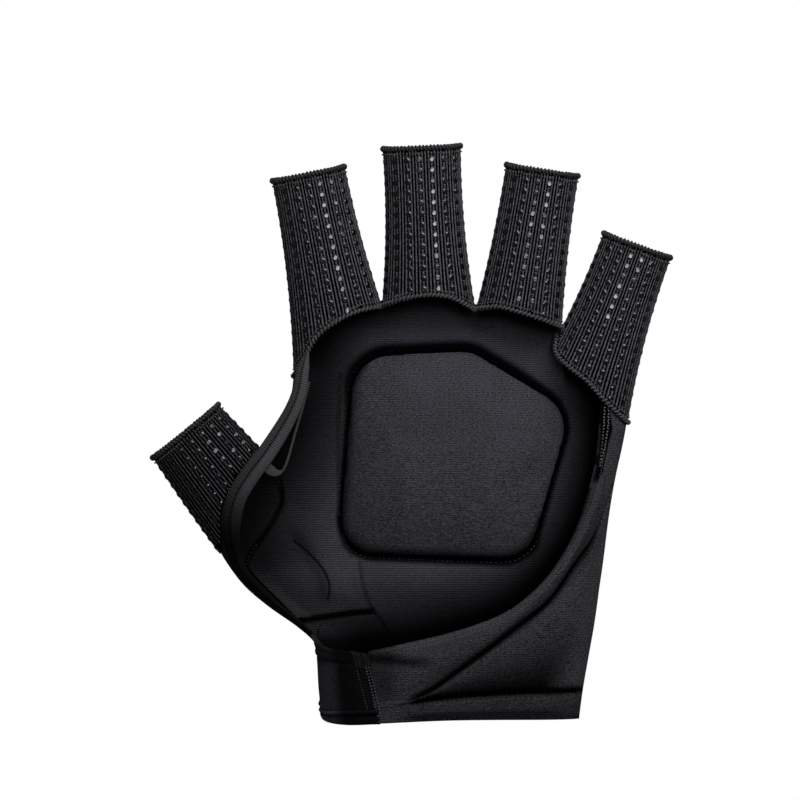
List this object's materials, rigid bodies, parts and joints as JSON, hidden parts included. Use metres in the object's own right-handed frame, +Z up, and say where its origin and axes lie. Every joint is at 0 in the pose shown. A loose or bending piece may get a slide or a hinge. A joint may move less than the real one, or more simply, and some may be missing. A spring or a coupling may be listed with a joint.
{
  "type": "field hockey glove",
  "caption": "Left-hand glove with open palm: padded back shell, half-finger knitted sleeves with gripping dots, crowned palm pad, quilted heel panel and elastic wrist gusset",
  "frame": {"origin": "under the middle of the glove's outline, on the surface it lies on", "axes": "+X from the thumb to the little finger, +Y from the wrist to the fingertips, +Z up out of the palm"},
  "size_m": [0.1624, 0.18, 0.0312],
  "materials": {
    "shell_foam": "matte jersey over foam",
    "lining_jersey": "matte jersey over foam",
    "panel_jersey": "matte jersey over foam",
    "elastic": "smooth stretch fabric",
    "binding_tape": "soft folded tape",
    "grey_tape": "narrow elastic tape",
    "rib_knit": "ribbed knit with clear dots",
    "overlock": "overlocked thread"
  },
  "bodies": {
    "root": {"back_shell": "shell_foam", "palm_pad": "lining_jersey", "thumb_pad": "lining_jersey", "heel_pad": "lining_jersey", "heel_panel": "panel_jersey", "wrist_gusset": "elastic", "gusset_hem": "elastic", "web_binding": "binding_tape", "web_tape": "grey_tape", "thumb_sleeve": "rib_knit", "index_sleeve": "rib_knit", "middle_sleeve": "rib_knit", "ring_sleeve": "rib_knit", "little_sleeve": "rib_knit", "thumb_tip_roll": "overlock", "index_tip_roll": "overlock", "middle_tip_roll": "overlock", "ring_tip_roll": "overlock", "little_tip_roll": "overlock", "index_foot_seam": "overlock", "middle_foot_seam": "overlock", "ring_foot_seam": "overlock", "little_foot_seam": "overlock"}
  },
  "joints": []
}
